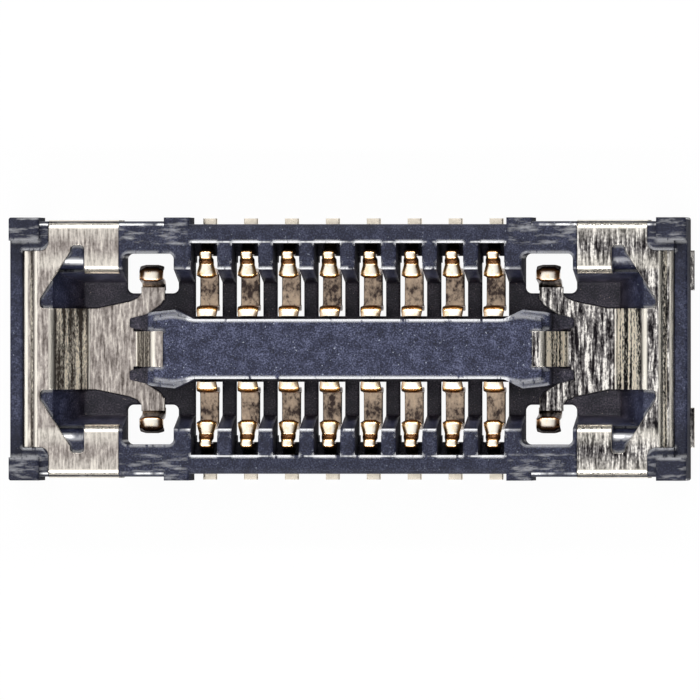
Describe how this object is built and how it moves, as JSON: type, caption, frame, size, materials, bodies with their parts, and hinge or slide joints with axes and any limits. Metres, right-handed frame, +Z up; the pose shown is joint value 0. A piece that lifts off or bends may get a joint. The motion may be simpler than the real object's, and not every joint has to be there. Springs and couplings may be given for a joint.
{
  "type": "fpc connector",
  "caption": "Low board-to-flex receptacle: dark moulded ring and centre island, rows of formed gold contacts in slots, and a formed metal power contact at each end.",
  "frame": {"origin": "middle of the connector on the solder plane, under the centre island", "axes": "+X along the contact rows, +Y across them, +Z up, the way the mating plug comes off"},
  "size_m": [0.0058, 0.0022, 0.0006],
  "materials": {
    "housing": "satin dark blue-black liquid crystal polymer",
    "end_contact": "copper alloy sheet, brushed, champagne nickel and gold flash",
    "signal_contact": "copper alloy strip, gold plated contact faces"
  },
  "bodies": {
    "root": {"housing": "housing", "end_contact_left": "end_contact", "end_contact_right": "end_contact", "signal_contact_north_1": "signal_contact", "signal_contact_north_2": "signal_contact", "signal_contact_north_3": "signal_contact", "signal_contact_north_4": "signal_contact", "signal_contact_north_5": "signal_contact", "signal_contact_north_6": "signal_contact", "signal_contact_north_7": "signal_contact", "signal_contact_north_8": "signal_contact", "signal_contact_south_1": "signal_contact", "signal_contact_south_2": "signal_contact", "signal_contact_south_3": "signal_contact", "signal_contact_south_4": "signal_contact", "signal_contact_south_5": "signal_contact", "signal_contact_south_6": "signal_contact", "signal_contact_south_7": "signal_contact", "signal_contact_south_8": "signal_contact"}
  },
  "joints": []
}
